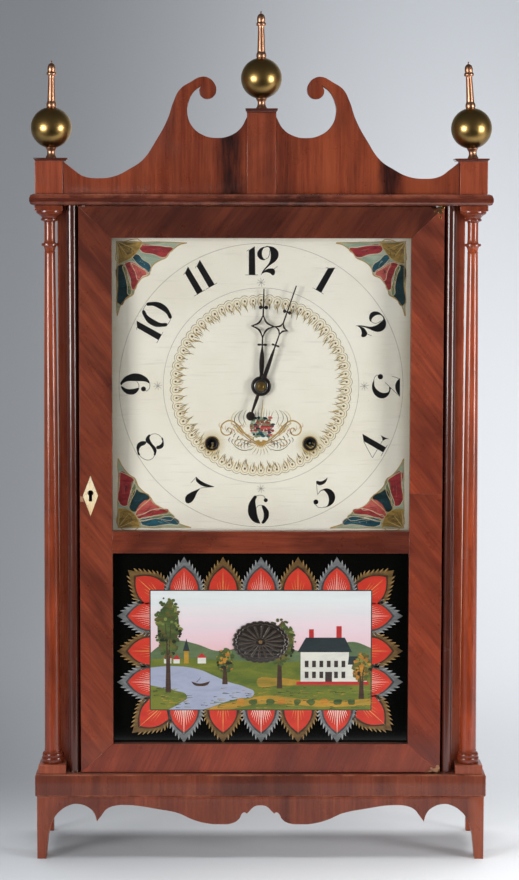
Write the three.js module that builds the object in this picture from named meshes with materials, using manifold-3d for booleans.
// Pillar and scroll shelf clock: a veneered wooden case on a scrolled skirt, with free-standing
// turned pillars, a glazed and painted door, a swan-neck scroll board with three brass finials,
// and a weight-driven wooden movement with pendulum, bell and hammer behind the painted dial.
// Millimetres. +Z is up, the front faces -Y, and the origin is on the floor under the middle.

import * as THREE from "three";
import { mergeVertices } from "three/addons/utils/BufferGeometryUtils.js";
import Module from "manifold-3d";

const wasm = await Module();
wasm.setup();

// Driving sizes of the case
const baseDepth = 114.4;
const footHeight = 60.5;
const baseBoardHeight = 21.5;
const doorWidth = 341.4;
const doorHeight = 536;
const doorClearance = 0.8;
const doorSetback = 7;
const doorThickness = 18;
const corniceOverhang = 1.6;
const corniceHeight = 10.9;
const caseWallThickness = 9.6;
const backboardThickness = 8;
const beadWidth = 10.4;
const beadGap = 1.3;
const beadSetback = 8;
const dialSetback = 28;
const dialThickness = 6;
const pillarStandOff = 6;
const pillarSetback = 2;
const plinthWidth = 26;
const plinthHeight = 8.6;
const baseMargin = 3;
const dialCentreHeight = 368;
const fitGap = 0.3;
const runningClearance = 0.06;
const overrun = 2;

// Levels and planes that the pieces share
const overallDepth = baseDepth + corniceOverhang;
const frontY = corniceOverhang - overallDepth / 2;
const backY = overallDepth / 2;
const behind = (setback) => frontY + setback;
const baseTop = footHeight + baseBoardHeight;
const doorBottom = baseTop + doorClearance;
const doorTop = doorBottom + doorHeight;
const corniceBottom = doorTop + doorClearance;
const corniceTop = corniceBottom + corniceHeight;
const backboardFront = backY - backboardThickness;
const jambInner = doorWidth / 2 + beadGap;
const jambOuter = jambInner + beadWidth;
const caseHalfWidth = jambOuter + caseWallThickness;
const pillarAxisX = caseHalfWidth + pillarStandOff;
const baseWidth = 2 * (pillarAxisX + plinthWidth / 2 + baseMargin);
const pillarAxisY = behind(pillarSetback + plinthWidth / 2);
const dialFront = behind(dialSetback);
const dialBack = dialFront + dialThickness;
const dialCentreZ = baseTop + dialCentreHeight;

// Colours, roughness and metalness
const finish = (color, roughness, metalness = 0) =>
  new THREE.MeshStandardMaterial({ color, roughness, metalness });
const mahogany = finish(0x6e3324, 0.35);
const darkMahogany = finish(0x4a1f1a, 0.3);
const pine = finish(0xa9825a, 0.75);
const cherry = finish(0xa26a3c, 0.6);
const brass = finish(0xa98a45, 0.3, 1);
const iron = finish(0x2b2926, 0.5, 0.8);
const steel = finish(0x8a8a88, 0.4, 1);
const bone = finish(0xefe2bd, 0.5);
const dialPaint = finish(0xe2dcc6, 0.6);
const clearGlass = finish(0xdfe6e4, 0.05);
const paintedGlass = finish(0x15140f, 0.15);
const hemp = finish(0x8d7a58, 0.9);

const fullTurn = 2 * Math.PI;
const quarterTurn = Math.PI / 2;
const degree = Math.PI / 180;
const turnedSides = 16;
const boreSides = 12;
const curveSteps = 3;

// Solids: a closed geometry as a solid, and back
function toSolid(geometry) {
  const bare = geometry.index ? geometry.toNonIndexed() : geometry.clone();
  for (const name of Object.keys(bare.attributes)) {
    if (name !== "position") bare.deleteAttribute(name);
  }
  const merged = mergeVertices(bare);
  const mesh = new wasm.Mesh({
    numProp: 3,
    vertProperties: merged.attributes.position.array,
    triVerts: new Uint32Array(merged.index.array),
  });
  return new wasm.Manifold(mesh);
}

function toGeometry(solid) {
  const mesh = solid.getMesh();
  const geometry = new THREE.BufferGeometry();
  geometry.setAttribute("position", new THREE.BufferAttribute(mesh.vertProperties, 3));
  geometry.setIndex(new THREE.BufferAttribute(mesh.triVerts, 1));
  return geometry;
}

const join = (first, ...others) =>
  toGeometry(others.reduce((sum, other) => sum.add(toSolid(other)), toSolid(first)));

const cut = (body, ...tools) =>
  toGeometry(tools.reduce((rest, tool) => rest.subtract(toSolid(tool)), toSolid(body)));

// Extrudes a flat outline one unit thick, then sends each corner to its place by the rule given
function slab(outline, place) {
  const shape = outline instanceof THREE.Shape ? outline : new THREE.Shape(outline);
  const geometry = new THREE.ExtrudeGeometry(shape, { depth: 1, bevelEnabled: false });
  const corners = geometry.attributes.position;
  for (let i = 0; i < corners.count; i++) {
    const far = corners.getZ(i) > 0;
    corners.setXYZ(i, ...place(corners.getX(i), corners.getY(i), far));
  }
  return geometry;
}

// Outlines seen from above, from the front (x, z) and from the right side (y, z)
const planSlab = (outline, low, high) =>
  slab(outline, (x, y, far) => [x, y, far ? high : low]);
const frontSlab = (outline, front, back) =>
  slab(outline, (x, z, far) => [x, far ? front : back, z]);
const sideSlab = (outline, left, right) =>
  slab(outline, (y, z, far) => [far ? right : left, y, z]);

const point = (x, y) => new THREE.Vector2(x, y);

const rectangle = (left, right, low, high) => [
  point(left, low),
  point(right, low),
  point(right, high),
  point(left, high),
];

const block = (left, right, front, back, low, high) =>
  planSlab(rectangle(left, right, front, back), low, high);

function disc(radius, sides, centreX = 0, centreZ = 0) {
  const points = [];
  for (let i = 0; i < sides; i++) {
    const angle = (i * fullTurn) / sides;
    points.push(point(centreX + radius * Math.cos(angle), centreZ + radius * Math.sin(angle)));
  }
  return points;
}

// A round piece about the Y axis from [radius, y] pairs, or standing about the Z axis
function turnedAcross(profile, sides = turnedSides) {
  let area = 0;
  profile.forEach(([radius, height], i) => {
    const [nextRadius, nextHeight] = profile[(i + 1) % profile.length];
    area += radius * nextHeight - nextRadius * height;
  });
  const ordered = area > 0 ? profile : [...profile].reverse();
  return new THREE.LatheGeometry(ordered.map(([r, h]) => point(r, h)), sides);
}

const turnedUpright = (profile, sides = turnedSides) =>
  turnedAcross(profile, sides).rotateX(quarterTurn);

const rod = (radius, start, end, sides = boreSides) =>
  turnedAcross([[0, start], [radius, start], [radius, end], [0, end]], sides);

const uprightRod = (radius, start, end, sides = boreSides) =>
  rod(radius, start, end, sides).rotateX(quarterTurn);

// A bore whose flats stay clear of the round pin that turns in it
const boreRadius = (pinRadius) => (pinRadius + runningClearance) / Math.cos(Math.PI / boreSides);

// A smooth line through the points given, and a closed outline from its right half
const curveThrough = (points, steps = curveSteps) =>
  new THREE.SplineCurve(points).getPoints(steps * (points.length - 1));

function mirrored(rightHalf) {
  const leftHalf = rightHalf.map((corner) => point(-corner.x, corner.y)).reverse();
  const shared = (a, b) => a.distanceTo(b) === 0;
  return [...rightHalf, ...leftHalf].filter((corner, i, all) => !shared(corner, all.at(i - 1)));
}

const scaled = (shares, width, height) => shares.map(([x, y]) => point(x * width, y * height));

const clock = new THREE.Group();

function add(name, geometry, material, x = 0, y = 0, z = 0) {
  const mesh = new THREE.Mesh(geometry, material);
  mesh.name = name;
  mesh.position.set(x, y, z);
  clock.add(mesh);
  return mesh;
}

const sides = [["left", -1], ["right", 1]];

// Base: a thick board with eased edges on a scrolled skirt with bracket feet
const boardEase = 1.4;
const easeSteps = 2;
const skirtThickness = 13;
const sideSkirtThickness = 7.5;
const skirtSetback = 1.4;
const footWidth = 8.6;
const skirtHalfWidth = baseWidth / 2 - skirtSetback;
const skirtFront = behind(skirtSetback);

// A board with its top and bottom edges eased, open to a cut at the back
function easedBoard(halfWidth, front, back, low, high, ease) {
  const outline = new THREE.Shape(rectangle(-halfWidth + ease, halfWidth - ease, front + ease, back));
  const geometry = new THREE.ExtrudeGeometry(outline, {
    depth: high - low - 2 * ease,
    bevelThickness: ease,
    bevelSize: ease,
    bevelSegments: easeSteps,
  });
  geometry.translate(0, 0, low + ease);
  const corners = geometry.attributes.position;
  const level = (value, target) => (Math.abs(value - target) < fitGap / 10 ? target : value);
  for (let i = 0; i < corners.count; i++) {
    corners.setZ(i, level(level(corners.getZ(i), low), high));
  }
  const spare = halfWidth + overrun;
  return cut(geometry, block(-spare, spare, back, back + ease + overrun, low - overrun, high + overrun));
}

// Lower edge of the front skirt, from the middle to the right foot, as shares of half its width
// and of its height
const skirtMiddleShares = [[0, 0.855], [0.018, 0.849], [0.033, 0.823], [0.052, 0.754], [0.061, 0.724]];
const skirtScrollShares = [
  [0.061, 0.724], [0.072, 0.742], [0.083, 0.719], [0.095, 0.641], [0.123, 0.574], [0.18, 0.552],
  [0.243, 0.569], [0.305, 0.63], [0.366, 0.727], [0.451, 0.79], [0.605, 0.86], [0.66, 0.84],
  [0.69, 0.788], [0.713, 0.686], [0.732, 0.595],
];
const skirtFootShares = [
  [0.732, 0.595], [0.744, 0.727], [0.764, 0.808], [0.821, 0.879], [0.861, 0.848], [0.896, 0.767],
  [0.921, 0.664], [0.945, 0.44], [0.954, 0.215], [0.96, 0],
];
const sideArchShares = [
  [0, 0.6], [0.1, 0.6], [0.26, 0.66], [0.4, 0.83], [0.52, 0.88], [0.62, 0.8], [0.67, 0.62],
  [0.72, 0.76], [0.78, 0.8], [0.84, 0.6], [0.88, 0.3],
];

function baseBoard() {
  const board = easedBoard(baseWidth / 2, frontY, backY, footHeight, baseTop, boardEase);
  return cut(board, pivotHole(baseTop - pivotPinLength, baseTop + overrun));
}

function frontSkirt() {
  const scaleShares = (shares) => scaled(shares, skirtHalfWidth, footHeight);
  const edge = [
    ...curveThrough(scaleShares(skirtMiddleShares), 2),
    ...curveThrough(scaleShares(skirtScrollShares)).slice(1),
    ...curveThrough(scaleShares(skirtFootShares)).slice(1),
    point(skirtHalfWidth, 0),
    point(skirtHalfWidth, footHeight),
  ];
  return frontSlab(mirrored(edge), skirtFront, skirtFront + skirtThickness);
}

// A side of the skirt runs from the back of the front one to the back of the base
function sideSkirt(side) {
  const front = skirtFront + skirtThickness;
  const half = (backY - front) / 2;
  const arch = curveThrough(scaled(sideArchShares, half, footHeight), 2);
  const edge = [...arch, point(half - footWidth, 0), point(half, 0), point(half, footHeight)];
  const outer = side * skirtHalfWidth;
  const inner = side * (skirtHalfWidth - sideSkirtThickness);
  const outline = mirrored(edge).map((corner) => point(corner.x + front + half, corner.y));
  return sideSlab(outline, Math.min(outer, inner), Math.max(outer, inner));
}

// Case: two side boards, backboard, top board, and the jambs that carry the half-round beads
const topBoardThickness = 20;
const ledgeWidth = 14;
const ledgeThickness = 10;
const ledgeFront = dialBack;
const ledgeBack = ledgeFront + ledgeThickness;
const caseSideFront = behind(pillarSetback + plinthWidth) + fitGap;

function caseSide(side) {
  const inner = side * jambOuter;
  const outer = side * caseHalfWidth;
  return block(
    Math.min(inner, outer), Math.max(inner, outer), caseSideFront, backY, baseTop, corniceBottom,
  );
}

// Seen from above: a half-round nose beside the door, then a ledge behind the dial
function jamb(side) {
  const nose = beadWidth / 2;
  const noseY = behind(beadSetback) + nose;
  const noseSteps = 8;
  const outline = [];
  for (let i = 0; i <= noseSteps; i++) {
    const angle = Math.PI + (i * Math.PI) / noseSteps;
    outline.push(point(jambInner + nose + nose * Math.cos(angle), noseY + nose * Math.sin(angle)));
  }
  outline.push(point(jambOuter, ledgeBack));
  outline.push(point(jambInner - ledgeWidth, ledgeBack));
  outline.push(point(jambInner - ledgeWidth, ledgeFront));
  outline.push(point(jambInner, ledgeFront));
  const turned = outline.map((corner) => point(side * corner.x, corner.y));
  const post = planSlab(side > 0 ? turned : turned.reverse(), baseTop, corniceBottom);
  return side > 0 ? post : cut(post, boltMortise());
}

// Door: stiles and rails rebated at the back for the glass above and the painted tablet below
const stileWidth = 30.7;
const topRailHeight = 29.2;
const middleRailHeight = 21;
const bottomRailHeight = 27.2;
const tabletOpeningHeight = 183;
const rebateSetback = 9;
const rebateWidth = 5;
const paneThickness = 2.2;
const openingHalfWidth = doorWidth / 2 - stileWidth;
const rebateHalfWidth = openingHalfWidth + rebateWidth;
const doorFront = behind(doorSetback);
const doorShoulder = doorFront + rebateSetback;
const doorBack = doorFront + doorThickness;
const tabletLow = doorBottom + bottomRailHeight;
const tabletHigh = tabletLow + tabletOpeningHeight;
const glassLow = tabletHigh + middleRailHeight;
const glassHigh = doorTop - topRailHeight;

function stile(side) {
  const corners = [
    [openingHalfWidth, doorFront],
    [doorWidth / 2, doorFront],
    [doorWidth / 2, doorBack],
    [rebateHalfWidth, doorBack],
    [rebateHalfWidth, doorShoulder],
    [openingHalfWidth, doorShoulder],
  ];
  const outline = corners.map(([x, y]) => point(side * x, y));
  return planSlab(side > 0 ? outline : outline.reverse(), doorBottom, doorTop);
}

// A rail: its face between the stiles, and its back let into their rebates
const rail = (low, high, backLow, backHigh) =>
  join(
    block(-openingHalfWidth, openingHalfWidth, doorFront, doorShoulder, low, high),
    block(-rebateHalfWidth, rebateHalfWidth, doorShoulder, doorBack, backLow, backHigh),
  );

const pane = (low, high) =>
  block(
    fitGap - rebateHalfWidth, rebateHalfWidth - fitGap, doorShoulder, doorShoulder + paneThickness,
    low - rebateWidth + fitGap, high + rebateWidth - fitGap,
  );

// Pivot hinges: a brass leaf let into each end of the right stile, with a pin into the case
const pivotInset = 3;
const pivotSetback = 2.7;
const pivotPinRadius = 1.5;
const pivotPinLength = 4.4;
const pivotLeafWidth = 12;
const pivotLeafDepth = 14;
const pivotLeafThickness = 1.6;
const pivotX = doorWidth / 2 - pivotInset;
const pivotY = doorFront + pivotSetback;

const pivotHole = (low, high) =>
  uprightRod(boreRadius(pivotPinRadius), low, high).translate(pivotX, pivotY, 0);

const pivotLeaf = (grow, low, high) =>
  block(
    doorWidth / 2 - pivotLeafWidth - grow, doorWidth / 2 + (grow ? overrun : 0),
    doorFront - (grow ? overrun : 0), doorFront + pivotLeafDepth + grow, low, high,
  );

function doorPivot(end, direction) {
  const inner = end - direction * pivotLeafThickness;
  const tip = end + direction * (doorClearance + pivotPinLength - doorClearance - fitGap);
  const leaf = pivotLeaf(0, Math.min(end, inner), Math.max(end, inner));
  const pin = uprightRod(pivotPinRadius, Math.min(inner, tip), Math.max(inner, tip));
  return join(leaf, pin.translate(pivotX, pivotY, 0));
}

function rightStile() {
  const seat = pivotLeafThickness + fitGap;
  return cut(
    stile(1),
    pivotLeaf(fitGap, doorTop - seat + fitGap, doorTop + overrun),
    pivotLeaf(fitGap, doorBottom - overrun, doorBottom + seat - fitGap),
  );
}

// Lock on the left stile: bone escutcheon, iron case let in from behind, and its sliding bolt
const escutcheonWidth = 14.3;
const escutcheonHeight = 38.4;
const escutcheonThickness = 1.6;
const escutcheonProud = 0.3;
const lockSetIn = 10.1;
const lockRise = 265.4;
const keyholeRadius = 2.7;
const keyholeSlotWidth = 3;
const keyholeHeight = 10.6;
const lockCaseWidth = 18;
const lockCaseHeight = 34;
const lockCaseThickness = 8;
const boltThickness = 3;
const boltHeight = 8;
const boltLength = 15;
const boltThrow = 5;
const lockX = lockSetIn - doorWidth / 2;
const lockZ = baseTop + lockRise;
const boltY = doorBack - lockCaseThickness / 2;

const diamond = (halfWidth, halfHeight) => [
  point(lockX - halfWidth, lockZ),
  point(lockX, lockZ - halfHeight),
  point(lockX + halfWidth, lockZ),
  point(lockX, lockZ + halfHeight),
];

function keyhole(front, back) {
  const eyeZ = lockZ + keyholeRadius;
  const slot = rectangle(
    lockX - keyholeSlotWidth / 2, lockX + keyholeSlotWidth / 2,
    eyeZ + keyholeRadius - keyholeHeight, eyeZ,
  );
  return join(
    frontSlab(disc(keyholeRadius, boreSides, lockX, eyeZ), front, back),
    frontSlab(slot, front, back),
  );
}

const escutcheon = () =>
  cut(
    frontSlab(
      diamond(escutcheonWidth / 2, escutcheonHeight / 2),
      doorFront - escutcheonProud, doorFront - escutcheonProud + escutcheonThickness,
    ),
    keyhole(doorFront - overrun, doorFront + overrun),
  );

const boltSlot = (left, right) =>
  block(
    left, right, boltY - boltThickness / 2 - fitGap, boltY + boltThickness / 2 + fitGap,
    lockZ - boltHeight / 2 - fitGap, lockZ + boltHeight / 2 + fitGap,
  );

const boltMortise = () => boltSlot(-jambInner - boltThrow - fitGap, -jambInner + overrun);

const lockCaseBlock = (grow, back) =>
  block(
    lockX - lockCaseWidth / 4 - grow, lockX + (3 * lockCaseWidth) / 4 + grow,
    doorBack - lockCaseThickness - grow, back,
    lockZ - lockCaseHeight / 2 - grow, lockZ + lockCaseHeight / 2 + grow,
  );

const lockCase = () =>
  cut(lockCaseBlock(0, doorBack), boltSlot(lockX - lockCaseWidth, -doorWidth / 2 + boltLength + fitGap));

const lockBolt = () =>
  block(
    -doorWidth / 2, -doorWidth / 2 + boltLength,
    boltY - boltThickness / 2, boltY + boltThickness / 2,
    lockZ - boltHeight / 2, lockZ + boltHeight / 2,
  );

function leftStile() {
  const recess = diamond(escutcheonWidth / 2 + fitGap, escutcheonHeight / 2 + 2 * fitGap);
  const floorY = doorFront - escutcheonProud + escutcheonThickness;
  return cut(
    stile(-1),
    frontSlab(recess, doorFront - overrun, floorY),
    keyhole(doorFront, doorBack - lockCaseThickness),
    lockCaseBlock(fitGap, doorBack + overrun),
    boltSlot(-doorWidth / 2 - overrun, lockX),
  );
}

// Cornice: a board with a rounded nose on the front and the two ends
const corniceNose = 4;

function cornice() {
  const halfWidth = baseWidth / 2 + corniceOverhang;
  const front = frontY - corniceOverhang;
  const board = easedBoard(halfWidth, front, backY, corniceBottom, corniceTop, corniceNose);
  return cut(board, pivotHole(corniceBottom - overrun, corniceBottom + pivotPinLength));
}

// Pillars: square plinth, turned shaft with a swelling, and a square abacus under the cornice
const shaftBottomRadius = 7.7;
const shaftMiddleRadius = 6.8;
const shaftTopRadius = 4.9;
const baseMouldingHeight = 14;
const capitalHeight = 39;
const abacusHeight = 4.8;
const pillarBottom = baseTop + plinthHeight;
const abacusBottom = corniceBottom - abacusHeight;
// Radius as a share of half the plinth, height as a share of the moulding
const baseMouldingShares = [
  [0, 0], [0.74, 0], [0.79, 0.1], [0.82, 0.26], [0.81, 0.4], [0.76, 0.47], [0.77, 0.55],
  [0.75, 0.68], [0.68, 0.79], [0.63, 0.83], [0.62, 0.94],
];
const capitalShares = [
  [0.41, 0.01], [0.4, 0.03], [0.36, 0.04], [0.4, 0.1], [0.49, 0.16], [0.58, 0.17], [0.59, 0.225],
  [0.41, 0.235], [0.385, 0.33], [0.385, 0.71], [0.42, 0.73], [0.42, 0.77], [0.58, 0.79],
  [0.62, 0.82], [0.59, 0.85], [0.51, 0.86], [0.57, 0.905], [0.68, 0.945], [0.76, 0.97],
  [0.91, 0.975], [0.92, 1], [0, 1],
];

function pillar() {
  const half = plinthWidth / 2;
  const capitalBottom = abacusBottom - capitalHeight;
  const shaftBottom = pillarBottom + baseMouldingHeight;
  const foot = baseMouldingShares.map(([r, h]) => [r * half, pillarBottom + h * baseMouldingHeight]);
  const head = capitalShares.map(([r, h]) => [r * half, capitalBottom + h * capitalHeight]);
  const shaft = [
    [shaftBottomRadius, shaftBottom],
    [shaftMiddleRadius, (shaftBottom + capitalBottom) / 2],
    [shaftTopRadius, capitalBottom],
  ];
  const turning = turnedUpright([...foot, ...shaft, ...head]);
  return join(turning, block(-half, half, -half, half, abacusBottom, corniceBottom));
}

// Pediment: scroll board between the side plinths, with a centre plinth that straddles it
const scrollHeight = 108.5;
const scrollSetback = 10;
const scrollThickness = 9;
const sidePlinthHeight = 30.5;
const saddleRise = 3.7;
const centrePlinthWidth = 27.3;
const saddleShare = 0.659;
const centrePlinthHeight = saddleShare * scrollHeight + saddleRise;
const veneerProud = 1;
const capThickness = 2.8;
const centreCapThickness = 4.1;
const capOverhang = 1.4;
const capReach = 4.4;
const plinthFront = behind(scrollSetback - veneerProud);
const finialY = plinthFront + plinthWidth / 2;
const scrollHalfWidth = pillarAxisX - plinthWidth / 2 - fitGap;
// Top edge of the right half, as shares of half the length and of the height of the board
const scrollRingShares = [
  [0.0737, saddleShare], [0.108, 0.558], [0.162, 0.497], [0.223, 0.479], [0.29, 0.5], [0.349, 0.576],
  [0.374, 0.69], [0.366, 0.79], [0.34, 0.872], [0.306, 0.918],
];
const scrollEyeShares = [
  [0.306, 0.918], [0.315, 0.876], [0.3, 0.825], [0.272, 0.81], [0.243, 0.829], [0.228, 0.885],
  [0.238, 0.945], [0.263, 0.986], [0.298, 1], [0.361, 0.951], [0.412, 0.89], [0.443, 0.79],
  [0.474, 0.637], [0.533, 0.453], [0.6, 0.29], [0.667, 0.213], [0.735, 0.155], [0.818, 0.134],
  [0.902, 0.154], [0.952, 0.212], [1, 0.276],
];

function scrollBoard() {
  const edge = [
    point(0, saddleShare * scrollHeight),
    ...curveThrough(scaled(scrollRingShares, scrollHalfWidth, scrollHeight), 2),
    ...curveThrough(scaled(scrollEyeShares, scrollHalfWidth, scrollHeight), 2).slice(1),
    point(scrollHalfWidth, 0),
  ];
  const outline = mirrored(edge.reverse()).map((corner) => point(corner.x, corner.y + corniceTop));
  return frontSlab(outline, behind(scrollSetback), behind(scrollSetback) + scrollThickness);
}

// The centre plinth and its cap in one
function centrePlinth() {
  const half = centrePlinthWidth / 2;
  const capBottom = corniceTop + centrePlinthHeight;
  const lipTop = capBottom + centreCapThickness / 2;
  const layer = (reach, low, high) =>
    block(-half - reach, half + reach, plinthFront - reach, plinthFront + plinthWidth + reach, low, high);
  const slotTop = corniceTop + saddleShare * scrollHeight + fitGap;
  const slot = block(
    -half - overrun, half + overrun, behind(scrollSetback) - fitGap / 2,
    behind(scrollSetback) + scrollThickness + fitGap / 2, corniceTop - overrun, slotTop,
  );
  return join(
    cut(layer(0, corniceTop, capBottom), slot),
    layer(capOverhang / 2, capBottom, lipTop),
    layer(capOverhang, lipTop, capBottom + centreCapThickness),
  );
}

const sidePlinth = (side) =>
  block(
    side * pillarAxisX - plinthWidth / 2, side * pillarAxisX + plinthWidth / 2,
    plinthFront, plinthFront + plinthWidth, corniceTop, corniceTop + sidePlinthHeight,
  );

// A cap reaches past the plinth, further on the side of the scroll board
function plinthCap(side) {
  const outer = side * (pillarAxisX + plinthWidth / 2 + capOverhang);
  const inner = side * (pillarAxisX - plinthWidth / 2 - capReach);
  const low = corniceTop + sidePlinthHeight;
  return block(
    Math.min(outer, inner), Math.max(outer, inner), plinthFront - capOverhang,
    plinthFront + plinthWidth + capOverhang, low, low + capThickness,
  );
}

// Finial: a waisted neck, a ball, and a spire with a bulb, a ring, a dome and a pin
const finialHeight = 90.2;
const ballRadius = 19.1;
const neckHeight = 9.6;
const neckRadius = 4.1;
const ballSteps = 9;
// Radius as a share of the ball's, height as a share of the neck or of the spire
const neckShares = [[0, 0], [0.205, 0], [0.19, 0.3], [0.195, 0.6], [0.24, 0.86], [0.245, 0.95]];
const spireShares = [
  [0.23, 0.01], [0.246, 0.045], [0.24, 0.09], [0.2, 0.13], [0.195, 0.16], [0.115, 0.68],
  [0.22, 0.69], [0.24, 0.72], [0.23, 0.755], [0.19, 0.77], [0.2, 0.825], [0.173, 0.88],
  [0.105, 0.93], [0.045, 0.95], [0.03, 0.96], [0.026, 1], [0, 1],
];

function finial(bottom) {
  const ballCentre = neckHeight + Math.sqrt(ballRadius ** 2 - neckRadius ** 2);
  const opening = Math.asin(neckRadius / ballRadius);
  const ballTop = ballCentre + ballRadius * Math.cos(opening);
  const spireHeight = finialHeight - ballTop;
  const neck = neckShares.map(([r, h]) => [r * ballRadius, h * neckHeight]);
  const ball = [];
  for (let i = 0; i <= ballSteps; i++) {
    const angle = opening + (i * (Math.PI - 2 * opening)) / ballSteps;
    ball.push([ballRadius * Math.sin(angle), ballCentre - ballRadius * Math.cos(angle)]);
  }
  const spire = spireShares.map(([r, h]) => [r * ballRadius, ballTop + h * spireHeight]);
  const profile = [...neck, ...ball, ...spire].map(([r, h]) => [r, h + bottom]);
  return turnedUpright(profile);
}

// Movement: wooden plates held apart by posts on the back plate
const weightRadius = 20;
const weightWallGap = 10.4;
const weightPlateGap = 8;
const weightX = jambOuter - weightWallGap - weightRadius;
const plateHalfWidth = weightX - weightRadius - weightPlateGap;
const plateThickness = 7;
const plateLow = 258;
const plateHigh = 468;
const platesSetback = 52;
const plateSpacing = 29.5;
const postRadius = 4;
const postInset = 6;
const upperPostX = 88;
const frontPlateY = behind(platesSetback);
const frontPlateBack = frontPlateY + plateThickness;
const backPlateY = frontPlateBack + plateSpacing;
const backPlateBack = backPlateY + plateThickness;
const plateBottomZ = baseTop + plateLow;
const plateTopZ = baseTop + plateHigh;
const posts = [
  [-plateHalfWidth + postInset, plateBottomZ + postInset],
  [plateHalfWidth - postInset, plateBottomZ + postInset],
  [-upperPostX, plateTopZ - postInset],
  [upperPostX, plateTopZ - postInset],
];

// Going train and motion work: teeth, modules and arbor centres
const pinionLeaves = 8;
const wheelTeeth = 72;
const greatModule = 1.8;
const centreModule = 1.4;
const thirdModule = 1.1;
const escapeTeeth = 39;
const escapeRadius = 18;
const strikeTeeth = 54;
const strikeModule = 2.1;
const minuteWheelTeeth = 36;
const cannonLeaves = 12;
const hourWheelTeeth = 40;
const minutePinionLeaves = 10;
const minuteModule = 1.25;
const windingDrop = 55;
const escapeRise = 57;
const vergeRise = 24;
const pivotRadius = 1.5;
const arborRadius = 3;
const pitchRadius = (teeth, module) => (teeth * module) / 2;
const greatDistance = pitchRadius(wheelTeeth + pinionLeaves, greatModule);
const thirdDistance = pitchRadius(wheelTeeth + pinionLeaves, centreModule);
const escapeDistance = pitchRadius(wheelTeeth + pinionLeaves, thirdModule);
const windingX = Math.sqrt(greatDistance ** 2 - windingDrop ** 2);
const windingZ = dialCentreZ - windingDrop;
const escapeZ = dialCentreZ + escapeRise;
const vergeZ = escapeZ + vergeRise;
// The third arbor stands where its two meshes meet
const thirdRise = (thirdDistance ** 2 - escapeDistance ** 2 + escapeRise ** 2) / (2 * escapeRise);
const thirdX = Math.sqrt(thirdDistance ** 2 - thirdRise ** 2);
const thirdZ = dialCentreZ + thirdRise;
const minuteDistance = pitchRadius(minuteWheelTeeth + cannonLeaves, minuteModule);
const hourModule = (2 * minuteDistance) / (hourWheelTeeth + minutePinionLeaves);

// Tooth form, as shares of the module and of the tooth pitch
const wheelTooth = { tipShare: 0.8, rootShare: 1.9, tipWidthShare: 0.2, rootWidthShare: 1 };
const leafTooth = { tipShare: 0.75, rootShare: 1.15, tipWidthShare: 0.12, rootWidthShare: 0.56 };

function gearOutline(teeth, module, phase, form) {
  const pitch = fullTurn / teeth;
  const radius = pitchRadius(teeth, module);
  const tip = radius + form.tipShare * module;
  const root = radius - form.rootShare * module;
  const points = [];
  for (let i = 0; i < teeth; i++) {
    const middle = phase + i * pitch;
    const corners = [
      [root, -form.rootWidthShare / 2],
      [tip, -form.tipWidthShare / 2],
      [tip, form.tipWidthShare / 2],
    ];
    if (form.rootWidthShare < 1) corners.push([root, form.rootWidthShare / 2]);
    for (const [r, offset] of corners) {
      const angle = middle + offset * pitch;
      points.push(point(r * Math.cos(angle), r * Math.sin(angle)));
    }
  }
  return points;
}

// Phase of a gear that meshes with one already placed, along the line between their centres
const meshPhase = (teeth, phase, otherTeeth, line) =>
  line + Math.PI + (Math.PI - teeth * (phase - line)) / otherTeeth;

const greatLine = Math.atan2(windingDrop, -windingX);
const centrePinionPhase = meshPhase(wheelTeeth, 0, pinionLeaves, greatLine);
const thirdLine = Math.atan2(thirdRise, thirdX);
const thirdPinionPhase = meshPhase(wheelTeeth, 0, pinionLeaves, thirdLine);
const escapeLine = Math.atan2(escapeRise - thirdRise, -thirdX);
const escapePinionPhase = meshPhase(wheelTeeth, 0, pinionLeaves, escapeLine);

// Planes along the arbors, measured back from the front plate
const greatPlane = 1.3;
const greatThickness = 5;
const strikePlane = 7;
const strikeThickness = 4.5;
const drumPlane = 11.5;
const drumLength = 10;
const drumRadius = 17;
const flangeRadius = 21;
const flangeThickness = 1.5;
const thirdPlane = 13;
const wheelThickness = 4;
const centrePlane = 24;
const escapePlane = 2;
const escapeThickness = 3;
const endShake = 0.4;
const inside = (plane) => frontPlateBack + plane;
const cordRadius = 1;
const cordY = inside(drumPlane) + drumLength / 2;

const toothed = (teeth, module, phase, form, plane, thickness) =>
  frontSlab(gearOutline(teeth, module, phase, form), inside(plane), inside(plane) + thickness);

// An arbor between the plates with a thin pivot through each of them
function arbor(radius, frontEnd = frontPlateY, backEnd = backPlateBack) {
  return turnedAcross([
    [0, frontEnd],
    [pivotRadius, frontEnd],
    [pivotRadius, frontPlateBack + endShake],
    [radius, frontPlateBack + endShake],
    [radius, backPlateY - endShake],
    [pivotRadius, backPlateY - endShake],
    [pivotRadius, backEnd],
    [0, backEnd],
  ], boreSides);
}

const hammerInset = 24;
const hammerX = hammerInset - plateHalfWidth;
const hammerZ = plateBottomZ + 2 * postInset;
const arbors = [
  [windingX, windingZ, arborRadius],
  [-windingX, windingZ, arborRadius],
  [0, dialCentreZ, pivotRadius],
  [thirdX, thirdZ, pivotRadius],
  [0, escapeZ, pivotRadius],
  [0, vergeZ, pivotRadius],
  [hammerX, hammerZ, pivotRadius],
];

const plateBores = (front, back) =>
  arbors.map(([x, z, radius]) => frontSlab(disc(boreRadius(radius), boreSides, x, z), front, back));

const plateOutline = () => rectangle(-plateHalfWidth, plateHalfWidth, plateBottomZ, plateTopZ);

function frontPlate() {
  const plate = frontSlab(plateOutline(), frontPlateY, frontPlateBack);
  const stud = rod(pivotRadius, frontPlateY - studLength, frontPlateBack).translate(
    -minuteDistance, 0, dialCentreZ,
  );
  return join(cut(plate, ...plateBores(frontPlateY - overrun, frontPlateBack + overrun)), stud);
}

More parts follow.
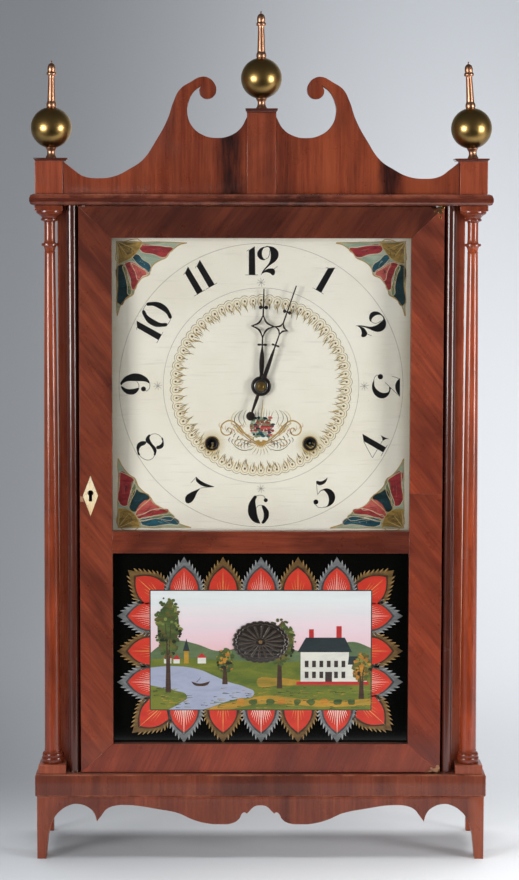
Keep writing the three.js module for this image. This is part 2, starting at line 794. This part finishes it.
function backPlate() {
  const plate = frontSlab(plateOutline(), backPlateY, backPlateBack);
  const bored = cut(plate, ...plateBores(backPlateY - overrun, backPlateBack + overrun));
  const pegs = posts.map(([x, z]) =>
    join(
      frontSlab(disc(postRadius, boreSides, x, z), frontPlateBack, backPlateY + overrun),
      frontSlab(disc(postRadius, boreSides, x, z), backPlateBack - overrun, backboardFront),
    ),
  );
  return join(bored, ...pegs);
}

// The great wheel rides loose on the winding arbor, and a ratchet lets the drum turn back
const greatWheel = () =>
  cut(
    toothed(wheelTeeth, greatModule, 0, wheelTooth, greatPlane, greatThickness),
    rod(boreRadius(arborRadius), frontPlateY, backPlateY),
  );

const squareSize = 3.2;
const squareLength = 8;
const keyClearance = 1;

// Drum with flanges on a stout arbor whose squared end stands behind the winding hole
function drum() {
  const start = inside(drumPlane);
  const end = start + drumLength;
  const squareFront = dialBack + keyClearance;
  const stem = rod(arborRadius, squareFront + squareLength, backPlateBack);
  const barrel = turnedAcross([
    [0, start - flangeThickness],
    [flangeRadius, start - flangeThickness],
    [flangeRadius, start],
    [drumRadius, start],
    [drumRadius, end],
    [flangeRadius, end],
    [flangeRadius, end + flangeThickness],
    [0, end + flangeThickness],
  ]);
  const half = squareSize / 2;
  const square = block(
    -half, half, squareFront, squareFront + squareLength + overrun, -half, half,
  );
  return join(barrel, stem, square);
}

const strikeDrum = () =>
  join(drum(), toothed(strikeTeeth, strikeModule, 0, wheelTooth, strikePlane, strikeThickness));

const centreWheel = () =>
  join(
    arbor(arborRadius, frontPlateY - centreReach),
    toothed(pinionLeaves, greatModule, centrePinionPhase, leafTooth, greatPlane, greatThickness),
    toothed(wheelTeeth, centreModule, 0, wheelTooth, centrePlane, wheelThickness),
  );

const thirdWheel = () =>
  join(
    arbor(arborRadius),
    toothed(pinionLeaves, centreModule, thirdPinionPhase, leafTooth, centrePlane, wheelThickness),
    toothed(wheelTeeth, thirdModule, 0, wheelTooth, thirdPlane, wheelThickness),
  );

// Saw-toothed escape wheel
const escapeRootShare = 0.84;
const escapeToothShares = [[1, 0], [escapeRootShare, 0.3], [escapeRootShare, 0.94]];

function escapeWheel() {
  const outline = [];
  for (let i = 0; i < escapeTeeth; i++) {
    for (const [reach, offset] of escapeToothShares) {
      const angle = ((i + offset) * fullTurn) / escapeTeeth;
      const radius = reach * escapeRadius;
      outline.push(point(radius * Math.cos(angle), radius * Math.sin(angle)));
    }
  }
  return join(
    arbor(2 * pivotRadius),
    frontSlab(outline, inside(escapePlane), inside(escapePlane) + escapeThickness),
    toothed(pinionLeaves, thirdModule, escapePinionPhase, leafTooth, thirdPlane, wheelThickness),
  );
}

// Verge: a curved strip over the escape wheel on its own arbor, with the pallets held clear
const palletClearance = 1.2;
const stripWidth = 2.6;
const palletAngle = 35 * degree;
const stripSteps = 8;
const vergeReach = 8;

function verge() {
  const inner = escapeRadius + palletClearance;
  const outer = inner + stripWidth;
  const arc = (radius, from, to) => {
    const points = [];
    for (let i = 0; i <= stripSteps; i++) {
      const angle = quarterTurn + from + (i * (to - from)) / stripSteps;
      points.push(point(radius * Math.cos(angle), radius * Math.sin(angle) - vergeRise));
    }
    return points;
  };
  const strip = [...arc(outer, -palletAngle, palletAngle), ...arc(inner, palletAngle, -palletAngle)];
  return join(
    arbor(arborRadius, frontPlateY, backPlateBack + vergeReach),
    frontSlab(strip, inside(escapePlane), inside(escapePlane) + escapeThickness),
  );
}

// Pendulum: an eye on the verge arbor, a wire rod, a lens-shaped bob and its rating nut
const pendulumLength = 324;
const rodRadius = 1.2;
const bobRadius = 24;
const bobThickness = 8.4;
const bobSides = 24;
const eyeRadius = 4;
const eyeThickness = 2.4;
const nutRadius = 4;
const nutDrop = 7;
const nutHeight = 4;
const rodTail = 6;
const pendulumY = backPlateBack + vergeReach - eyeThickness;
const bobShares = [[0, -0.5], [0.35, -0.46], [0.7, -0.32], [0.95, -0.1], [1, 0]];

function pendulum() {
  const front = pendulumY - eyeThickness / 2;
  const eye = cut(
    frontSlab(disc(eyeRadius, boreSides), front, front + eyeThickness),
    rod(boreRadius(pivotRadius), front - overrun, front + eyeThickness + overrun),
  );
  const lowEnd = -pendulumLength - bobRadius - nutDrop - rodTail;
  const wire = uprightRod(rodRadius, lowEnd, -eyeRadius + 1 * rodRadius).translate(0, pendulumY, 0);
  const half = bobShares.map(([r, t]) => [r * bobRadius, t * bobThickness]);
  const rest = half.slice(0, -1).reverse().map(([r, y]) => [r, -y]);
  const bob = turnedAcross([...half, ...rest], bobSides).translate(0, pendulumY, -pendulumLength);
  const nutTop = -pendulumLength - bobRadius - nutDrop;
  const nut = uprightRod(nutRadius, nutTop - nutHeight, nutTop).translate(0, pendulumY, 0);
  return join(eye, wire, bob, nut);
}

// Motion work in front of the plate: cannon pinion, minute wheel and hour wheel
const motionGap = 1.2;
const motionThickness = 4;
const motionStep = 6;
const studLength = 14;
const centreReach = 8;
const pipeInnerRadius = 2.5;
const pipeWall = 1.6;
const stemRadius = 2.3;
const minutePlaneBack = frontPlateY - motionGap;
const minutePlaneFront = minutePlaneBack - motionThickness;
const hourPlaneBack = minutePlaneBack - motionStep;
const hourPlaneFront = hourPlaneBack - motionThickness;

// Rest angles of the hands, clockwise from the top as seen from the front
const hourHandAngle = 1.6 * degree;
const minuteHandAngle = 19.2 * degree;
const minuteWheelLine = Math.PI;
const minuteWheelPhase = meshPhase(cannonLeaves, 0, minuteWheelTeeth, minuteWheelLine);
const hourWheelPhase = meshPhase(minutePinionLeaves, 0, hourWheelTeeth, 0);

const minuteWheel = () =>
  cut(
    join(
      frontSlab(
        gearOutline(minuteWheelTeeth, minuteModule, minuteWheelPhase, wheelTooth),
        minutePlaneFront, minutePlaneBack,
      ),
      frontSlab(
        gearOutline(minutePinionLeaves, hourModule, 0, leafTooth),
        hourPlaneFront, minutePlaneFront + overrun,
      ),
    ),
    rod(boreRadius(pivotRadius), hourPlaneFront - overrun, frontPlateY),
  );

// Hands: a leaf, a cross bar, an open diamond with hollow sides, a knobbed bar and a pointer.
// Lengths run out from the centre of the dial.
const handThickness = 0.9;
const handStandOff = 4;
const hubRadius = 9;
const minuteHub = 5;
const handLine = 1.5;
const handSpacing = 2.6;
const hourHandFront = dialFront - handStandOff;
const minuteHandFront = hourHandFront - handSpacing;
const hourHandSizes = {
  leafLow: 7.5, leafHigh: 38, leafWidth: 4.8, barAt: 39, barWidth: 8, diamondLow: 46,
  diamondHigh: 69.5, diamondWidth: 22, knobsAt: 73.5, knobSpan: 5, knobRadius: 1.9, tip: 92,
};
const minuteHandSizes = {
  leafLow: 4, leafHigh: 40, leafWidth: 4, barAt: 41, barWidth: 6.5, diamondLow: 50,
  diamondHigh: 64.5, diamondWidth: 15, knobsAt: 74, knobSpan: 4.6, knobRadius: 1.8, tip: 100.5,
};
const minuteTail = 30;
const tailDiscRadius = 4.3;
const leafShares = [[0.35, 0], [0.46, 0.12], [0.5, 0.4], [0.36, 0.7], [0.2, 1]];
const hollowShare = 0.55;

function diamondRing(size) {
  const middle = (size.diamondLow + size.diamondHigh) / 2;
  const half = (size.diamondHigh - size.diamondLow) / 2;
  const ring = (halfWidth, halfHeight) => {
    const corners = [[halfWidth, 0], [0, halfHeight], [-halfWidth, 0], [0, -halfHeight]];
    const outline = new THREE.Path();
    outline.moveTo(halfWidth, middle);
    corners.forEach(([x, z], i) => {
      const [nextX, nextZ] = corners[(i + 1) % corners.length];
      const bendX = ((x + nextX) / 2) * hollowShare;
      const bendZ = ((z + nextZ) / 2) * hollowShare;
      outline.quadraticCurveTo(bendX, middle + bendZ, nextX, middle + nextZ);
    });
    return outline.getPoints(curveSteps).slice(0, -1);
  };
  const shape = new THREE.Shape(ring(size.diamondWidth / 2, half));
  const inset = handLine * 1.6;
  shape.holes.push(new THREE.Path(ring(size.diamondWidth / 2 - inset, half - inset)));
  return shape;
}

function handBlade(size, front) {
  const back = front + handThickness;
  const flat = (outline) => frontSlab(outline, front, back);
  const leaf = scaled(leafShares, size.leafWidth, size.leafHigh - size.leafLow)
    .map((corner) => point(corner.x, corner.y + size.leafLow));
  const bar = (from, to, width) => flat(rectangle(-width / 2, width / 2, from, to));
  const half = handLine / 2;
  return join(
    flat(mirrored(curveThrough(leaf, 2))),
    bar(size.leafHigh - half, size.diamondLow + handLine, handLine),
    bar(size.barAt - half, size.barAt + half, size.barWidth),
    flat(diamondRing(size)),
    bar(size.diamondHigh - handLine, size.tip, handLine),
    bar(size.knobsAt - half, size.knobsAt + half, size.knobSpan),
    flat(disc(size.knobRadius, boreSides, -size.knobSpan / 2, size.knobsAt)),
    flat(disc(size.knobRadius, boreSides, size.knobSpan / 2, size.knobsAt)),
  );
}

function hourHand() {
  const pipeOuter = pipeInnerRadius + pipeWall;
  const hub = turnedAcross([
    [0, hourHandFront - handThickness],
    [hubRadius - handThickness, hourHandFront - handThickness],
    [hubRadius, hourHandFront],
    [hubRadius, hourHandFront + handThickness],
    [pipeOuter, hourHandFront + handThickness],
    [pipeOuter, hourPlaneBack],
    [0, hourPlaneBack],
  ], bobSides);
  const wheel = frontSlab(
    gearOutline(hourWheelTeeth, hourModule, hourWheelPhase + hourHandAngle, wheelTooth),
    hourPlaneFront, hourPlaneBack,
  );
  const bore = rod(pipeInnerRadius, hourHandFront - overrun, hourPlaneBack + overrun, turnedSides);
  return cut(join(hub, handBlade(hourHandSizes, hourHandFront), wheel), bore);
}

function minuteHand() {
  const capLength = 1.6;
  const stem = turnedAcross([
    [0, minuteHandFront - capLength],
    [stemRadius / 2, minuteHandFront - capLength],
    [minuteHub, minuteHandFront],
    [minuteHub, minuteHandFront + handThickness],
    [stemRadius, minuteHandFront + handThickness],
    [stemRadius, minutePlaneBack],
    [0, minutePlaneBack],
  ]);
  const cannon = frontSlab(
    gearOutline(cannonLeaves, minuteModule, minuteHandAngle, leafTooth),
    minutePlaneFront, minutePlaneBack,
  );
  const tailWidth = 2 * handLine;
  const back = minuteHandFront + handThickness;
  const tail = frontSlab(
    [point(-handLine / 2, -minuteTail), point(handLine / 2, -minuteTail), point(tailWidth / 2, 0),
      point(-tailWidth / 2, 0)],
    minuteHandFront, back,
  );
  const weight = frontSlab(disc(tailDiscRadius, boreSides, 0, -minuteTail), minuteHandFront, back);
  const socket = rod(
    boreRadius(pivotRadius), frontPlateY - centreReach - fitGap, frontPlateY + overrun,
  );
  const blade = handBlade(minuteHandSizes, minuteHandFront);
  return cut(join(stem, blade, tail, weight, cannon), socket);
}

// Dial: a painted board with a hole for the hands and two for the winding key
const dialTop = 604;
const dialBottom = 300;
const windingHoleRadius = 5.4;
const centreHoleRadius = 7;

function dialBoard() {
  const half = jambInner - fitGap;
  const hole = (radius, x, z) =>
    frontSlab(disc(radius, turnedSides, x, z), dialFront - overrun, dialBack + overrun);
  return cut(
    block(-half, half, dialFront, dialBack, dialBottom, dialTop),
    hole(centreHoleRadius, 0, dialCentreZ),
    hole(windingHoleRadius, -windingX, windingZ),
    hole(windingHoleRadius, windingX, windingZ),
  );
}

// Weights, cords and pulleys: each cord runs from its drum over a pulley in the top board
const weightHeight = 118;
const weightRise = 3;
const hookRadius = 3;
const hookHeight = 12;
const cordLineRadius = 12;
const pulleyGap = 1.8;
const pulleyFlange = 13.5;
const pulleyWidth = 7;
const pulleyPinReach = 6;
const pulleySlotReach = 4;
const pulleyX = weightX - cordLineRadius;
const pulleyZ = corniceBottom - pulleyFlange - doorClearance;
const weightBottom = baseTop + weightRise;
const hookTop = weightBottom + weightHeight + hookHeight;
const cordSides = 8;
const cordSteps = 34;

const weight = () =>
  turnedUpright([
    [0, weightBottom],
    [weightRadius, weightBottom],
    [weightRadius, weightBottom + weightHeight - weightRadius / 2],
    [weightRadius * 0.7, weightBottom + weightHeight],
    [hookRadius, weightBottom + weightHeight],
    [hookRadius, hookTop],
    [0, hookTop],
  ]);

const weightCord = () =>
  uprightRod(cordRadius, hookTop + fitGap, pulleyZ - fitGap, cordSides);

function pulley() {
  const half = pulleyWidth / 2;
  const groove = cordLineRadius - cordRadius - pulleyGap / 2;
  const pin = half + pulleyPinReach;
  return turnedAcross([
    [0, -pin], [pivotRadius, -pin], [pivotRadius, -half], [pulleyFlange, -half],
    [groove, -cordRadius], [groove, cordRadius], [pulleyFlange, half], [pivotRadius, half],
    [pivotRadius, pin], [0, pin],
  ]);
}

// Where the cord's line leaves the pulley and meets the far side of the drum, crossing between
function drumCord(side) {
  const drumLine = drumRadius + cordRadius + fitGap;
  const centreX = windingX;
  const deltaX = pulleyX - centreX;
  const deltaZ = pulleyZ - windingZ;
  const distance = Math.hypot(deltaX, deltaZ);
  const bearing = Math.atan2(deltaZ, deltaX);
  const cross = Math.acos((drumLine + cordLineRadius) / distance);
  const leave = bearing - cross;
  const drumPoint = [centreX + drumLine * Math.cos(leave), windingZ + drumLine * Math.sin(leave)];
  const path = [new THREE.Vector3(side * drumPoint[0], cordY, drumPoint[1])];
  const wrapStart = leave + Math.PI;
  const wrapSteps = 8;
  const places = [];
  for (let i = 0; i <= wrapSteps; i++) {
    const angle = wrapStart - (i * wrapStart) / wrapSteps;
    places.push([pulleyX + cordLineRadius * Math.cos(angle), pulleyZ + cordLineRadius * Math.sin(angle)]);
  }
  const curve = new THREE.CurvePath();
  const points = places.map(([x, z]) => new THREE.Vector3(side * x, cordY, z));
  curve.add(new THREE.LineCurve3(path[0], points[0]));
  curve.add(new THREE.CatmullRomCurve3(points));
  const section = new THREE.Shape(disc(cordRadius, cordSides));
  const cord = new THREE.ExtrudeGeometry(section, { steps: cordSteps, extrudePath: curve });
  return toGeometry(toSolid(cord).simplify(fitGap / 5));
}

function topBoard() {
  const low = corniceBottom - topBoardThickness;
  const board = block(-jambOuter, jambOuter, ledgeBack, backboardFront, low, corniceBottom);
  const slotHalf = pulleyFlange + pulleySlotReach;
  const slotReach = pulleyWidth / 2 + endShake;
  const pinReach = pulleyWidth / 2 + pulleyPinReach + endShake;
  const cuts = sides.flatMap(([, side]) => {
    const middle = side * pulleyX;
    const groove = pivotRadius + fitGap / 2;
    return [
      block(
        middle - slotHalf, middle + slotHalf, cordY - slotReach, cordY + slotReach,
        low - overrun, corniceBottom + overrun,
      ),
      block(
        middle - groove, middle + groove, cordY - pinReach, cordY + pinReach,
        pulleyZ - groove, corniceBottom + overrun,
      ),
    ];
  });
  return cut(board, ...cuts);
}

// Bell on a post from the backboard, and the hammer that strikes its rim
const bellRadius = 30;
const bellInset = 24;
const bellX = hammerX + bellInset;
const bellDrop = 203;
const bellWall = 2.4;
const bellDepth = 26;
const bellSetback = 70;
const bellPostRadius = 3;
const bellCapRadius = 5;
const bellCapHeight = 2;
const bellSides = 20;
const bellZ = baseTop + bellDrop;
const bellShares = [[0.2, 0], [0.55, 0.07], [0.82, 0.26], [0.93, 0.55], [1, 1]];

function bell() {
  const crown = behind(bellSetback);
  const outer = bellShares.map(([r, d]) => [r * bellRadius, crown + d * bellDepth]);
  const innerRadius = bellRadius - bellWall;
  const inner = [...bellShares].reverse().map(([r, d]) => [
    r * innerRadius,
    crown + bellWall + d * (bellDepth - bellWall),
  ]);
  inner[0][1] = crown + bellDepth;
  return turnedAcross([
    [0, crown - bellCapHeight],
    [bellCapRadius, crown - bellCapHeight],
    [bellCapRadius, crown],
    ...outer,
    ...inner,
    [bellPostRadius, crown + bellWall],
    [bellPostRadius, backboardFront],
    [0, backboardFront],
  ], bellSides);
}

const hammerHeadRadius = 5.5;
const hammerHeadLength = 10;
const hammerGap = 1.5;
const hammerPlane = 16;
const hammerArmWidth = 2.4;
const hammerTail = 14;

function hammer() {
  const headX = bellX - bellRadius - hammerGap - hammerHeadRadius - hammerX;
  const headZ = bellZ + hammerHeadRadius - hammerZ;
  const front = inside(hammerPlane);
  const bend = Math.atan2(headZ, headX);
  const half = hammerArmWidth / 2;
  const length = Math.hypot(headX, headZ);
  const arm = frontSlab(rectangle(-hammerTail, length, -half, half), front, front + hammerArmWidth);
  const middle = front + hammerArmWidth / 2;
  const head = rod(hammerHeadRadius, middle - hammerHeadLength / 2, middle + hammerHeadLength / 2);
  return join(arbor(arborRadius), arm.rotateY(-bend), head.translate(headX, 0, headZ));
}

// Assembly
add("base_board", baseBoard(), mahogany);
add("front_skirt", frontSkirt(), mahogany);
add("backboard", block(-jambOuter, jambOuter, backboardFront, backY, baseTop, corniceBottom), pine);
add("top_board", topBoard(), pine);
add("cornice", cornice(), darkMahogany);
for (const [name, side] of sides) {
  add("side_skirt_" + name, sideSkirt(side), mahogany);
  add("case_side_" + name, caseSide(side), mahogany);
  add("jamb_" + name, jamb(side), darkMahogany);
  const axisX = side * pillarAxisX;
  const half = plinthWidth / 2;
  const plinth = block(-half, half, -half, half, baseTop, pillarBottom);
  add("pillar_plinth_" + name, plinth, mahogany, axisX, pillarAxisY);
  add("pillar_" + name, pillar(), mahogany, axisX, pillarAxisY);
  add("side_plinth_" + name, sidePlinth(side), mahogany);
  add("plinth_cap_" + name, plinthCap(side), darkMahogany);
  const capTop = corniceTop + sidePlinthHeight + capThickness;
  add("finial_" + name, finial(capTop), brass, axisX, finialY);
}
add("scroll_board", scrollBoard(), mahogany);
add("centre_plinth", centrePlinth(), mahogany);
add("finial_centre", finial(corniceTop + centrePlinthHeight + centreCapThickness), brass, 0, finialY);

add("door_stile_left", leftStile(), mahogany);
add("door_stile_right", rightStile(), mahogany);
add("door_top_rail", rail(glassHigh, doorTop, glassHigh + rebateWidth, doorTop), mahogany);
const middleRail = rail(tabletHigh, glassLow, tabletHigh + rebateWidth, glassLow - rebateWidth);
add("door_middle_rail", middleRail, mahogany);
add("door_bottom_rail", rail(doorBottom, tabletLow, doorBottom, tabletLow - rebateWidth), mahogany);
add("door_glass", pane(glassLow, glassHigh), clearGlass);
add("painted_tablet", pane(tabletLow, tabletHigh), paintedGlass);
add("door_pivot_top", doorPivot(doorTop, 1), brass);
add("door_pivot_bottom", doorPivot(doorBottom, -1), brass);
add("escutcheon", escutcheon(), bone);
add("lock_case", lockCase(), iron);
add("lock_bolt", lockBolt(), steel);

add("dial_board", dialBoard(), dialPaint);
add("front_plate", frontPlate(), cherry);
add("back_plate", backPlate(), cherry);
add("great_wheel", greatWheel(), cherry, windingX, 0, windingZ);
add("time_drum", drum(), cherry, windingX, 0, windingZ);
add("strike_drum", strikeDrum(), cherry, -windingX, 0, windingZ);
add("centre_wheel", centreWheel(), cherry, 0, 0, dialCentreZ);
add("third_wheel", thirdWheel(), cherry, thirdX, 0, thirdZ);
add("escape_wheel", escapeWheel(), cherry, 0, 0, escapeZ);
add("verge", verge(), steel, 0, 0, vergeZ);
add("pendulum", pendulum(), brass, 0, 0, vergeZ);
add("minute_wheel", minuteWheel(), cherry, -minuteDistance, 0, dialCentreZ);
add("hour_hand", hourHand(), iron, 0, 0, dialCentreZ).rotation.y = hourHandAngle;
add("minute_hand", minuteHand(), iron, 0, 0, dialCentreZ).rotation.y = minuteHandAngle;
add("bell", bell(), iron, bellX, 0, bellZ);
add("hammer", hammer(), iron, hammerX, 0, hammerZ);
for (const [name, side] of [["time", 1], ["strike", -1]]) {
  add(name + "_weight", weight(), iron, side * weightX, cordY);
  add(name + "_cord", weightCord(), hemp, side * weightX, cordY);
  add(name + "_pulley", pulley(), cherry, side * pulleyX, cordY, pulleyZ);
  add(name + "_drum_cord", drumCord(side), hemp);
}

export default clock;
